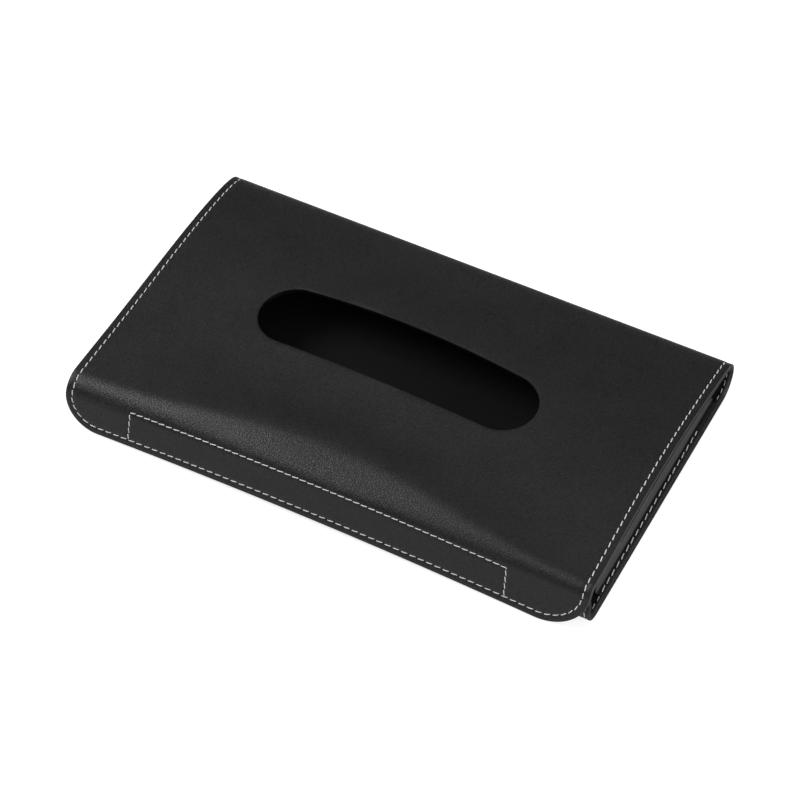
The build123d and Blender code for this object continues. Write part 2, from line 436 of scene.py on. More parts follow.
def cover_line(margin, low_margin):
    """A line round the cover and flap at margins from the sides and from the lower edge."""
    side = half_length - margin
    x = np.linspace(flap_corner_left - half_length, half_length - flap_corner_right, line_count)
    bottom = np.stack([x, flap_edge(x) - low_margin], 1)
    corners = []
    for corner, middle, start in ((flap_corner_left, x[0], 180), (flap_corner_right, x[-1], 90)):
        radii = (corner - margin, corner - low_margin)
        corners.append(arc((middle, front_run - corner), radii, start, start - 90))
    return np.vstack([[[-side, 0]], corners[0], bottom[1:-1], corners[1], [[side, 0]]])


def back_line(margin):
    """A line round the back and lip at a margin from the edges."""
    side = half_length - margin
    radius = lip_corner - margin
    far = margin - back_run
    right = arc((side - radius, far + radius), (radius, radius), 0, -90)
    return np.vstack([[[side, 0]], right, right[::-1] * (-1, 1), [[-side, 0]]])


def across_slot(inlay):
    """The slot's outline in plan, moved outwards by the inlay, as x and y."""
    radius = slot_width / 2
    reach = slot_length / 2 - radius
    x = np.linspace(-reach, reach, slot_count)
    rear = np.stack([x, radius + slot_bow * (1 - (x / reach) ** 2) + inlay], 1)
    front = np.stack([x[::-1], np.full_like(x, -radius - inlay)], 1)
    grown = (radius + inlay, radius + inlay)
    right = arc((reach, 0), grown, 90, -90)
    left = arc((-reach, 0), grown, 270, 90)
    outline = np.vstack([rear, right[1:-1], front, left[1:-1]])
    outline[:, 1] -= slot_skew * np.clip((outline[:, 0] / reach + 1) / 2, 0, 1) ** slot_skew_power
    return resampled(np.vstack([outline, outline[:1]]), fine_step)[:-1] + (slot_offset, slot_setback)


def outward(loop):
    """Unit normals in the pattern that point out of a closed line."""
    ahead = np.roll(loop, -1, axis=0)
    along = ahead - np.roll(loop, 1, axis=0)
    area = (loop[:, 0] * ahead[:, 1] - ahead[:, 0] * loop[:, 1]).sum()
    return unit(beside(along)) * math.copysign(1, area)


def slot_hole(inlay):
    """The slot's loop in the pattern, and its normals, which point into the hole."""
    w = np.linspace(0, cover_run, search_count)
    loop = []
    for x, y in across_slot(inlay):
        column = outer_face(np.stack([np.full_like(w, x), w], 1))[0]
        loop.append((x, np.interp(-y, -column[:, 1], w)))
    loop = np.array(loop)
    return loop, -outward(loop)


def inside(points, loop):
    """Which points lie inside a closed line."""
    result = np.zeros(len(points), bool)
    x, y = points[:, 0], points[:, 1]
    for (x0, y0), (x1, y1) in zip(loop, np.roll(loop, -1, axis=0)):
        if y0 == y1:
            continue
        crosses = (y0 > y) != (y1 > y)
        result ^= crosses & (x < (x1 - x0) * (y - y0) / (y1 - y0) + x0)
    return result


def nearest(points, others, block=2000):
    """Distance of each point to the nearest of the others."""
    found = []
    for start in range(0, len(points), block):
        gaps = points[start:start + block, None] - others[None]
        found.append(np.sqrt((gaps**2).sum(-1).min(1)))
    return np.concatenate(found)


def thinned(points):
    """Drops points that nearly repeat an earlier one."""
    kept = {}
    for point in points:
        cell = (round(point[0] / least_gap), round(point[1] / least_gap))
        kept.setdefault(cell, point)
    return np.array(list(kept.values()))


def mesh_rows(low, high, folds):
    """Pattern rows from low to high, fine in and just beside the folds and coarse elsewhere."""
    rows = [low]
    while rows[-1] < high:
        inside_fold = any(start - fold_reach < rows[-1] < end + fold_reach for start, end in folds)
        rows.append(rows[-1] + (fine_step if inside_fold else coarse_step))
    return np.array(rows[1:-1])


def fill_points(loops, seams, rows, step):
    """Points that fill a pattern inside its first loop and outside the others: along its seams, and
    on rows between them."""
    lines = seam_lines(seams)
    columns = np.arange(-half_length, half_length, step)
    grid = np.stack(np.meshgrid(columns, rows), -1).reshape(-1, 2)
    grid = grid[nearest(grid, np.vstack([*lines, *loops])) > clear_gap]
    points = np.vstack([thinned(np.vstack(lines)), grid]) if lines else grid
    points = points[inside(points, loops[0])]
    for hole in loops[1:]:
        points = points[~inside(points, hole)]
    return points[nearest(points, np.vstack(loops)) > least_gap]


def triangulated(loops, points):
    """Triangles of the pattern inside its first loop and outside the others."""
    rings = []
    edges = []
    for loop in loops:
        start = sum(len(ring) for ring in rings)
        rings.append(range(start, start + len(loop)))
        edges += list(zip(rings[-1], [*rings[-1][1:], start]))
    flat = [Vector(point) for point in np.vstack([*loops, points])]
    found = geometry.delaunay_2d_cdt(flat, edges, [], 0, 1e-4)
    vertices = np.array([tuple(v) for v in found[0]])
    faces = np.array([face for face in found[2] if len(face) == 3])
    middle = vertices[faces].mean(1)
    keep = inside(middle, loops[0])
    for hole in loops[1:]:
        keep &= ~inside(middle, hole)
    new_index = {old: new for new, olds in enumerate(found[3]) for old in olds}
    return vertices, faces[keep], [np.array([new_index[k] for k in ring]) for ring in rings]


def new_piece(name, vertices, faces, materials, kinds=None, uv=None):
    """A smooth mesh object from millimetres, with one material index for each face."""
    mesh = bpy.data.meshes.new(name)
    mesh.from_pydata((np.asarray(vertices) * mm).tolist(), [], [list(map(int, f)) for f in faces])
    for material in materials:
        mesh.materials.append(material)
    if kinds is not None:
        mesh.polygons.foreach_set("material_index", np.asarray(kinds, np.int32))
    if uv is not None:
        layer = mesh.uv_layers.new(name="Pattern")
        corner = np.zeros(len(mesh.loops), np.int32)
        mesh.loops.foreach_get("vertex_index", corner)
        layer.data.foreach_set("uv", (np.asarray(uv)[corner] * mm).astype(np.float32).ravel())
    shell = bmesh.new()
    shell.from_mesh(mesh)
    bmesh.ops.recalc_face_normals(shell, faces=shell.faces)
    shell.to_mesh(mesh)
    shell.free()
    mesh.shade_smooth()
    piece = bpy.data.objects.new(name, mesh)
    bpy.context.scene.collection.objects.link(piece)
    return piece


def sheet_piece(name, outlines, seams, rows, step, top, bottom, materials, turned=None):
    """A closed sheet between two depths, with rounded edges that follow its outlines, each a loop
    with its normals. Its materials are the faces', the outer edge's and, last, that of its holes or
    of the turned part of its lower face, which turned picks."""
    loops, normals = zip(*outlines)
    flat, triangles, rings = triangulated(loops, fill_points(loops, seams, rows, step))
    count = len(flat)
    upper, lower = top(flat), bottom(flat)
    vertices = [place(flat, upper), place(flat, lower)]
    uv = [flat, flat]
    faces = [triangles[:, ::-1], triangles + count]
    last_kind = len(materials) - 1
    lower_kind = np.zeros(len(triangles), int)
    if turned is not None:
        lower_kind[turned(flat[triangles].mean(1))] = last_kind
    kinds = [np.zeros(len(triangles), int), lower_kind]

    def wall(first, second, kind):
        """A band of faces between two rings of points."""
        faces.append(np.stack([first, np.roll(first, -1), np.roll(second, -1), second], 1))
        kinds.append(np.full(len(first), kind))

    total = 2 * count
    for ring, normal, kind in zip(rings, normals, [1] + [last_kind] * (len(rings) - 1)):
        bevel = np.minimum(edge_round, (lower[ring] - upper[ring]) * bevel_share)
        levels = [(out, upper[ring] + bevel * down) for out, down in bevel_shares]
        levels += [(out, lower[ring] - bevel * down) for out, down in bevel_shares[::-1]]
        previous = ring
        for out, depth in levels:
            edge = flat[ring] + normal * edge_round * out
            vertices.append(place(edge, depth))
            uv.append(edge)
            current = total + np.arange(len(ring))
            total += len(ring)
            wall(previous, current, kind)
            previous = current
        wall(previous, ring + count, kind)
    all_faces = [face for group in faces for face in group.tolist()]
    return new_piece(name, np.vstack(vertices), all_faces, materials, np.concatenate(kinds), np.vstack(uv))


def closed_by_join(line):
    """Closes an open pattern line along the join, w = 0, and gives its loop and its normals."""
    line = resampled(line, fine_step)
    count = max(2, round(abs(line[0, 0] - line[-1, 0]) / coarse_step))
    loop = np.vstack([line, np.linspace((line[-1, 0], 0), (line[0, 0], 0), count + 1)[1:-1]])
    normal = outward(loop)
    normal[len(line):] = 0
    for k in (0, len(line) - 1):
        normal[k] = (math.copysign(1, loop[k, 0]), 0)
    return loop, normal


def closure_seam():
    """The closure's seam: up one side, along the top at an even height over the flap's edge, and
    down the other side."""
    x = closure_offset + np.linspace(-closure_reach, closure_reach, closure_count)
    edge = flap_edge(x)
    return np.vstack([
        [[x[0] - closure_left_splay, edge[0] - flap_margin]],
        np.stack([x, edge - closure_height], 1),
        [[x[-1] + closure_right_splay, edge[-1] - flap_margin]],
    ])


def seam_lines(seams):
    """Mesh lines along seams and close beside them, so that their grooves have points to bend at."""
    lines = []
    for seam in seams:
        line = resampled(seam, fine_step)
        aside = unit(beside(np.gradient(line, axis=0)))
        lines += [line + aside * fine_step * k for k in range(-2, 3)]
    return lines


def grooves(points, seams, depth=groove_depth, reach=groove_reach):
    """Depth of the grooves that the threads draw in."""
    track = np.vstack([resampled(seam, track_step) for seam in seams])
    return depth * np.exp(-(nearest(points, track) / reach) ** 2)


def grooved(seams):
    """The depth of a skin's outer face, with its seams."""
    return lambda points: grooves(points, seams)


def constant(depth):
    """The same depth everywhere."""
    return lambda points: np.full(len(points), float(depth))


def depth_at(depth, places):
    """A depth at each place of a table of places."""
    return depth(places.reshape(-1, 2)).reshape(places.shape[:-1])


def paced(seam, pitch):
    """A seam as fine points, its number of stitches and their even pitch."""
    seam = resampled(seam, seam_step)
    run = lengths(seam)[-1]
    count = round(run / pitch)
    return seam, count, run / count


def circle(sides):
    """Cosines and sines of even steps round a circle, as columns."""
    angles = np.arange(sides)[:, None] * 2 * math.pi / sides
    return np.cos(angles), np.sin(angles)


def copies(faces, size, count):
    """The faces of one form of size points, repeated for count forms."""
    return [[vertex + copy * size for vertex in face] for copy in range(count) for face in faces]


def stitches(name, seam, pitch, dash, depth, side, material):
    """Stitches along a seam: each is a short slanted thread that dips into the skin at its ends.
    side is 1 outside and -1 inside."""
    seam, count, pitch = paced(seam, pitch)
    half = dash * pitch / 2
    at = (np.arange(count)[:, None] + 0.5) * pitch + stitch_place_shares * half
    direction = unit(places_along(seam, at + seam_reach) - places_along(seam, at - seam_reach))
    slant = stitch_place_shares * half * dash_slant * side
    flat = places_along(seam, at) + beside(direction) * slant[:, None]
    normal = outer_face(flat)[1] * side
    height = stitch_height_shares * thread_radius
    centre = place(flat, depth_at(depth, flat)) + normal * height[:, None]
    tangent = unit(np.gradient(centre, axis=1))
    across = unit(np.cross(tangent, normal))
    upright = np.cross(across, tangent)
    cosines, sines = circle(thread_sides)
    ring = across[:, :, None] * cosines + upright[:, :, None] * sines * thread_flatness
    body = centre[:, :, None] + ring * (stitch_swell_shares * thread_radius)[:, None, None]
    ends = [centre[:, 0] - tangent[:, 0] * stitch_tip, centre[:, -1] + tangent[:, -1] * stitch_tip]
    vertices = np.concatenate([body.reshape(count, -1, 3), np.stack(ends, 1)], 1)
    size = vertices.shape[1]
    last = size - 2 - thread_sides
    faces = []
    for k in range(thread_sides):
        after = (k + 1) % thread_sides
        for row in range(0, last, thread_sides):
            a, b = row + k, row + after
            faces.append((a, b, b + thread_sides, a + thread_sides))
        faces += [(k, size - 2, after), (last + k, last + after, size - 1)]
    around = np.tile(np.arange(thread_sides) / thread_sides * twist_width, len(stitch_place_shares))
    lengthwise = np.repeat(stitch_place_shares * half, thread_sides)
    uv = np.vstack([np.stack([lengthwise, around], 1), [[-half, 0], [half, 0]]])
    return new_piece(
        name, vertices.reshape(-1, 3), copies(faces, size, count), [material], uv=np.tile(uv, (count, 1)))


def needle_holes(name, seam, pitch, dash, depth, side, material):
    """The needle's holes, one between each stitch and the next, as small dished buttons, nearly black:
    painted shade in the holes.
    """
    seam, count, pitch = paced(seam, pitch)
    at = np.arange(1, count) * pitch
    flat = places_along(seam, at)
    direction = unit(places_along(seam, at + seam_reach) - flat)[:, None]
    long = (1 - dash) * pitch / 2 + hole_overlap
    cosines, sines = circle(hole_sides)
    rim = flat[:, None] + direction * (cosines * long) + beside(direction) * (sines * hole_width)
    edge = place(rim, depth_at(depth, rim) + side * hole_rim)
    top = place(flat, depth(flat) - side * hole_crown)
    low = place(flat, depth(flat) + side * hole_depth)
    vertices = np.concatenate([edge, top[:, None], low[:, None]], 1)
    faces = [(k, (k + 1) % hole_sides, hole_sides) for k in range(hole_sides)]
    faces += [((k + 1) % hole_sides, k, hole_sides + 1) for k in range(hole_sides)]
    return new_piece(
        name, vertices.reshape(-1, 3), copies(faces, hole_sides + 2, len(at)), [material])


# Materials


def grey(level, blue=None):
    """A grey, with its blue a little apart where it is given."""
    return level, level, level if blue is None else blue


class Tree:
    """A node tree with short calls."""

    def __init__(self, tree):
        self.tree = tree

    def feed(self, sockets, values):
        """Sets each socket to its value, or links it where the value is another socket."""
        for socket, value in zip(sockets, values):
            if isinstance(value, bpy.types.NodeSocket):
                self.tree.links.new(value, socket)
            else:
                socket.default_value = value

    def add(self, kind, **settings):
        """A new node: a name with a capital is one of its sockets, any other a setting."""
        node = self.tree.nodes.new("ShaderNode" + kind)
        for key, value in settings.items():
            if key[0].isupper():
                self.feed([node.inputs[key]], [value])
            else:
                setattr(node, key, value)
        return node

    def math(self, operation, *values):
        node = self.add("Math", operation=operation)
        self.feed(node.inputs, values)
        return node.outputs[0]

    def mix(self, share, first, second):
        node = self.add("Mix")
        self.feed((node.inputs[0], node.inputs[2], node.inputs[3]), (share, first, second))
        return node.outputs[0]


class Material(Tree):
    """A new material's nodes. The pattern gives its coordinates in metres, so that a grain has one
    real size on every sheet."""

    def __init__(self, name):
        self.material = bpy.data.materials.new(name)
        self.material.use_nodes = True
        super().__init__(self.material.node_tree)
        self.shader = self.tree.nodes["Principled BSDF"]

    def pattern(self):
        return self.add("UVMap", uv_map="Pattern").outputs[0]

    def solid(self):
        return self.add("TexCoord").outputs["Object"]

    def noise(self, at, scale, detail=2.0):
        return self.add("TexNoise", Vector=at, Scale=scale, Detail=detail).outputs["Fac"]

    def cells(self, at, scale, **settings):
        return self.add("TexVoronoi", **settings, Vector=at, Scale=scale).outputs["Distance"]

    def span(self, source, *limits):
        """The source's run from the first limit to the second, laid on that of the other two."""
        node = self.add("MapRange")
        self.feed(node.inputs, (source, *limits))
        return node.outputs[0]

    def weighed(self, first, share, second):
        return self.math("MULTIPLY_ADD", first, share, self.math("MULTIPLY", second, 1 - share))

    def bump(self, height, distance, strength):
        bump = self.add("Bump", Height=height, Distance=distance, Strength=strength)
        self.feed([self.shader.inputs["Normal"]], bump.outputs)

    def finished(self, shade, dark, light, **values):
        """The material: its colour runs from dark to light with the shade, and its shader's other
        sockets take the values."""
        colour = self.add("Mix", data_type="RGBA")
        inputs = colour.inputs
        self.feed((inputs[0], inputs[6], inputs[7]), (shade, (*dark, 1), (*light, 1)))
        self.feed([self.shader.inputs["Base Color"]], [colour.outputs[2]])
        for key, value in values.items():
            self.feed([self.shader.inputs[key.replace("_", " ")]], [value])
        return self.material


def leather_material(name, dark, light, smooth, rough):
    """Pebbled synthetic leather: rounded cells of about a millimetre between fine creases."""
    nodes = Material(name)
    at = nodes.pattern()
    warp = nodes.add("TexNoise", Vector=at, Scale=420.0, Detail=2.0)
    shifted = nodes.add("VectorMath", operation="MULTIPLY_ADD")
    nodes.feed(shifted.inputs, (warp.outputs["Color"], (0.0007, 0.0007, 0), at))
    cells = nodes.cells(shifted.outputs[0], 950.0, feature="DISTANCE_TO_EDGE")
    pebble = nodes.math("POWER", nodes.span(cells, 0.0, 0.32, 0.0, 1.0), 0.55)
    broad = nodes.noise(at, 55.0, 3.0)
    amount = nodes.span(nodes.noise(at, 14.0), 0.35, 0.65, 0.75, 1.2)
    height = nodes.math("MULTIPLY", pebble, amount)
    height = nodes.math("MULTIPLY_ADD", nodes.noise(at, 3600.0, 3.0), 0.35, height)
    height = nodes.math("MULTIPLY_ADD", broad, 0.8, height)
    nodes.bump(height, 0.00008, 0.9)
    roughness = nodes.span(broad, 0.3, 0.7, smooth, rough)
    # The colour is darkest in the creases between cells: partly the grain's own tone, partly painted shade
    # in the creases.
    shade = nodes.weighed(broad, 0.25, pebble)
    return nodes.finished(shade, dark, light, Roughness=roughness, Specular_IOR_Level=0.42)


def edge_material(name, dark, light, specular):
    """Cut edges, dyed black, with faint layers."""
    nodes = Material(name)
    at = nodes.pattern()
    layers = nodes.noise(at, 1500.0, 3.0)
    wear = nodes.noise(at, 120.0)
    nodes.bump(layers, 0.00005, 0.5)
    roughness = nodes.span(wear, 0.3, 0.7, 0.45, 0.6)
    shade = nodes.weighed(wear, 0.7, layers)
    return nodes.finished(shade, dark, light, Roughness=roughness, Specular_IOR_Level=specular)


def woven(nodes, pitch_x, pitch_w):
    """A plain weave of real pitches in millimetres: its height and a shade that varies by yarn."""
    at = nodes.pattern()
    split = nodes.add("SeparateXYZ", Vector=at)
    waves = []
    for output, pitch in zip(split.outputs, (pitch_x, pitch_w)):
        waves.append(nodes.math("SINE", nodes.math("MULTIPLY", output, math.pi / (pitch * mm))))
    over = nodes.span(nodes.math("MULTIPLY", *waves), -0.2, 0.2, 0.0, 1.0)
    yarn = nodes.mix(over, *(nodes.math("ABSOLUTE", wave) for wave in waves))
    height = nodes.math("MULTIPLY_ADD", nodes.noise(at, 2600.0, 3.0), 0.4, yarn)
    return height, nodes.weighed(nodes.noise(at, 240.0), 0.5, yarn)


def lining_material():
    """Smooth black lining with a fine plain weave."""
    nodes = Material("Lining")
    height, shade = woven(nodes, 0.45, 0.45)
    nodes.bump(height, 0.00005, 0.5)
    dark, light = grey(0.0045, 0.0047), grey(0.0105, 0.0108)
    return nodes.finished(shade, dark, light, Roughness=0.75, Specular_IOR_Level=0.08)


def cloth_material(name, dark, light, pitch_x, pitch_w):
    """Woven webbing or ribbed elastic."""
    nodes = Material(name)
    height, shade = woven(nodes, pitch_x, pitch_w)
    nodes.bump(height, 0.0001, 0.7)
    return nodes.finished(shade, dark, light, Roughness=0.85, Sheen_Weight=0.15, Sheen_Roughness=0.5)


def foam_material():
    """Dark open-cell foam."""
    nodes = Material("Foam")
    cells = nodes.cells(nodes.solid(), 2200.0)
    nodes.bump(cells, 0.0002, 0.7)
    return nodes.finished(cells, grey(0.004), grey(0.012), Roughness=0.95)


def fastener_material(name, scale, depth):
    """Black fastener tape: stubby hooks or a pile of loops on a woven base."""
    nodes = Material(name)
    tufts = nodes.cells(nodes.pattern(), scale, Randomness=0.55)
    nodes.bump(nodes.math("SUBTRACT", 1.0, tufts), depth, 0.9)
    return nodes.finished(tufts, grey(0.026, 0.027), grey(0.005), Roughness=0.7, Sheen_Weight=0.2)


def board_material():
    """Brown fibreboard with flecks."""
    nodes = Material("Fibreboard")
    flecks = nodes.noise(nodes.solid(), 700.0, 4.0)
    nodes.bump(flecks, 0.0001, 0.6)
    return nodes.finished(flecks, (0.16, 0.10, 0.06), (0.36, 0.25, 0.16), Roughness=0.85)


def thread_material(name, dark, light):
    """Twisted polyester thread."""
    nodes = Material(name)
    at = nodes.pattern()
    wave = nodes.add("TexWave", bands_direction="DIAGONAL", Vector=at, Scale=900.0, Distortion=0.6)
    twist = wave.outputs["Fac"]
    nodes.bump(twist, 0.00008, 0.6)
    shade = nodes.weighed(nodes.noise(at, 5000.0), 0.4, twist)
    return nodes.finished(shade, dark, light, Roughness=0.6, Sheen_Weight=0.1)


def hole_material():
    """Needle holes: nearly black and matt, painted shade where the leather is drawn into the holes."""
    nodes = Material("Needle_Hole")
    noise = nodes.noise(nodes.solid(), 3000.0)
    return nodes.finished(noise, grey(0.002), grey(0.006), Roughness=0.9, Specular_IOR_Level=0.2)


skin = leather_material("Leather", grey(0.0), (0.021, 0.0212, 0.0216), 0.38, 0.46)
# A lighter copy of the leather for the back's turned side edges: painted light on a band that the cover
# shades.
painted_light_turned_skin = leather_material("Turned_Leather_Painted_Light", grey(0.006), grey(0.05, 0.051), 0.4, 0.5)
dyed_edge = edge_material("Dyed_Edge", grey(0.022, 0.023), grey(0.062, 0.064), 0.5)
# The slot's cut edges: a copy of the dyed edge about ten times darker, painted shade inside the slot.
slot_edge_painted_shade = edge_material("Slot_Edge_Painted_Shade", grey(0.002), grey(0.005), 0.08)
face_cloth = lining_material()
padding = foam_material()
white_thread = thread_material("White_Thread", grey(0.74, 0.73), grey(0.9, 0.89))
needle_hole = hole_material()
grey_web = cloth_material("Grey_Web", grey(0.016, 0.017), grey(0.052, 0.054), 0.55, 0.55)
# A lighter copy of the grey web for the blade's top edge: painted highlight along that edge.
painted_highlight_web = cloth_material("Web_Painted_Highlight", grey(0.08, 0.082), grey(0.15, 0.153), 0.55, 0.55)
black_elastic = cloth_material("Black_Elastic", grey(0.008), grey(0.022), rib_pitch, 0.6)
black_hooks = fastener_material("Hook_Tape", 1400.0, 0.0003)
black_loops = fastener_material("Loop_Tape", 3400.0, 0.0002)
black_thread = thread_material("Black_Thread", grey(0.006), grey(0.02))
fibreboard = board_material()


def bend_front(piece):
    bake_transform(piece)


def bend_back(piece):
    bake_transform(piece)


def ride_cover(piece):
    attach(piece, "cover")


def ride_back(piece):
    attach(piece, "back")


def settle(piece, move, slot, *nodes):
    """Moves a piece as move says and hides the solids that it stands for; slot, what it is made of, is not
    used.
    """
    move(piece)
    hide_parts(*nodes)


# Seams and folds in the pattern
cover_seam = cover_line(cover_margin, flap_margin)
back_seam = back_line(back_margin)
closure = closure_seam()
cover_seams = [cover_seam, closure]
back_seams = [back_seam]
join_fold = (0, join_reach)
spine_fold = (-spine_run, 0)
curl_fold = (-spine_run - flat_run - curl_run, -spine_run - flat_run)
front_fold = (cover_run, front_run - flap_drop + fold_overrun)
join_rows = np.array(join_steps)

# Cover and flap, outer skin
cover_outline = closed_by_join(cover_line(edge_round, edge_round))
cover_rows = np.concatenate([join_rows, mesh_rows(join_rows[-1], front_run, [front_fold, join_fold])])
# Its slot's cut edges take the darker edge: painted shade inside the slot.
cover_skin = sheet_piece(
    "cover_skin", [cover_outline, slot_hole(edge_round)], cover_seams, cover_rows, coarse_step,
    grooved(cover_seams), constant(leather), [skin, dyed_edge, slot_edge_painted_shade])
settle(cover_skin, bend_front, "outer_leather", "cover_leather", "flap_leather")

# Back, spine and lip, outer skin
back_outline = closed_by_join(back_line(edge_round))
back_rows = mesh_rows(-back_run, -join_rows[-1], [spine_fold, curl_fold])
back_rows = np.concatenate([back_rows, -join_rows[::-1]])
back_skin = sheet_piece(
    "back_skin", [back_outline], back_seams, back_rows, coarse_step,
    grooved(back_seams), constant(leather), [skin, skin])
settle(back_skin, bend_back, "outer_leather", "back_leather")


def cover_rectangle(margin, start, end):
    """A loop straight across the cover, with its normals; a side on the join has none."""
    side = half_length - margin
    corners = ((-side, start), (-side, end), (side, end), (side, start))
    normals = ((-1, 0), (0, 1), (1, 0), (0, -1 if start > 0 else 0))
    lines = []
    for k in range(4):
        line = np.linspace(corners[k], corners[(k + 1) % 4], edge_count)
        lines.append(line[k % 2:edge_count - k % 2])
    return np.vstack(lines), np.repeat(np.array(normals, float), [len(line) for line in lines], axis=0)


# Padding and lining of the cover
pad_end = cover_run - foam_setback
pad_rows = mesh_rows(foam_start, pad_end, [join_fold])


def cover_face_top(points):
    return leather + 2 * bond + foam_depth(points[:, 1])


def cover_face_low(points):
    return cover_face_top(points) + lining - grooves(points, cover_seams)


def pad_piece(name, margin, start, inlay, top, bottom, materials):
    """A sheet under the cover, from near the join to where the foam ends, with the slot's hole."""
    outlines = [
        cover_rectangle(margin + edge_round, start, pad_end - edge_round),
        slot_hole(inlay + edge_round),
    ]
    return sheet_piece(name, outlines, [], pad_rows, pad_step, top, bottom, materials)


cover_padding = pad_piece(
    "cover_padding", foam_margin, foam_start, slot_inlay, constant(leather + bond),
    lambda points: leather + bond + foam_depth(points[:, 1]), [padding, padding])
settle(cover_padding, ride_cover, "padding", "cover_foam")

# Its slot's cut edges take the darker edge: painted shade inside the slot.
cover_face = pad_piece(
    "cover_face", 0, 0, lining_inlay, cover_face_top, cover_face_low, [face_cloth, dyed_edge, slot_edge_painted_shade])
settle(cover_face, ride_cover, "inner_lining", "cover_lining")

# Facing of the flap, from the cover's lining round the fold
facing_start = pad_end + facing_gap


def flap_outline():
    """The flap's outline from the row where its facing starts, with its normals."""
    line = cover_line(edge_round, edge_round)
    side = half_length - edge_round
    corners = np.array([[-side, facing_start], [side, facing_start]])
    line = resampled(np.vstack([corners[:1], line[line[:, 1] > facing_start], corners[1:]]), fine_step)
    loop = np.vstack([line, np.linspace(corners[1], corners[0], edge_count)[1:-1]])
    return loop, outward(loop)


def flap_face_low(points):
    return leather + bond + lining - grooves(points, cover_seams)


flap_rows = mesh_rows(facing_start, front_run, [front_fold])
flap_face = sheet_piece(
    "flap_face", [flap_outline()], cover_seams, flap_rows, coarse_step, constant(leather + bond),
    flap_face_low, [face_cloth, dyed_edge])
settle(flap_face, bend_front, "inner_lining", "flap_facing")

# Lining of the back, raised over the board
board_low, board_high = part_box("back_board")


def on_back(points):
    """Which places are on the flat of the back."""
    return (-points[:, 1] > spine_run) & (-points[:, 1] < spine_run + flat_run)


def back_face_top(points):
    """Depth of the lining's hidden face, which the board lifts off the skin."""
    point, _ = outer_face(points)
    gap_x = np.abs(point[:, 0]) - board_high.x / mm
    gap_y = np.maximum(point[:, 1] - board_high.y / mm, board_low.y / mm - point[:, 1])
    inwards = board_fall_end - np.maximum(gap_x, gap_y)
    return leather + bond + board_lift * blend_share(inwards, 0, board_fall) * on_back(points)


def outside_seam(points):
    """How far places are outside the back's side stitches."""
    return np.abs(points[:, 0]) - half_length + back_margin


def turned_edge(points):
    """Where the skin is turned over the back's side edges."""
    return outside_seam(points) > turn_step


def back_face_low(points):
    """Depth of the back's inner face, which steps up on the turned edge and falls to its rim."""
    out = outside_seam(points)
    turned = turn_rise * blend_share(out, turn_rise_start, turn_rise_end)
    fall = turn_fall * np.clip((out - turn_fall_start) / (back_margin - turn_fall_start), 0, 1)
    return back_face_top(points) + lining + turned - fall - grooves(points, back_seams)


# The turned part of the back's lower face takes the lighter leather: painted light on the band under the
# cover's edge.
back_face = sheet_piece(
    "back_face", [back_outline], back_seams, back_rows, coarse_step, back_face_top, back_face_low,
    [face_cloth, skin, painted_light_turned_skin], turned=turned_edge)
settle(back_face, bend_back, "inner_lining", "back_lining")

# Low wings of grey web along both ends: a hem under the side stitches and a blade on its inner edge
wing_low, wing_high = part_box("right_wing")
wing_start = wing_low.y / mm
wing_length = (wing_high.y - wing_low.y) / mm
hem_edge = half_length - back_margin + hem_reach
hem_z = base + leather + 2 * bond + lining
wing_x = (wing_low.x + wing_high.x) / 2 / mm + wing_shift
wing_z = hem_z + wing_thickness * 1.5 + wing_clearance
hem_count, bend_count, blade_count = 5, 6, 11
# Rows of the web, over the hem and into its bend, that take the black leather: painted shade on the hem
# beside the side stitches.
painted_shade_rows = 8
# Last rows of the blade, at its top edge, that take the lighter web: painted highlight.
painted_highlight_rows = 2


def wing_profile():
    """Middle line of the web in (x, z): flat hem, tight bend, blade leaning a little inwards."""
    hem_middle = hem_z + wing_thickness / 2
    hem = np.linspace((hem_edge, hem_middle), (wing_x + wing_bend, hem_middle), hem_count)
    blade_axis = np.array([-math.cos(wing_angle), math.sin(wing_angle)])
    pivot = np.array([wing_x, wing_z])
    corner = pivot - blade_axis * (wing_z - hem_middle) / blade_axis[1]
    shares = np.linspace(0, 1, bend_count + 1)[1:]
    bend = bezier(np.array([hem[-1], corner, pivot])[:, :, None], shares).T
    blade = np.linspace(pivot, pivot + blade_axis * wing_height, blade_count + 1)[1:]
    return np.vstack([hem, bend, blade])


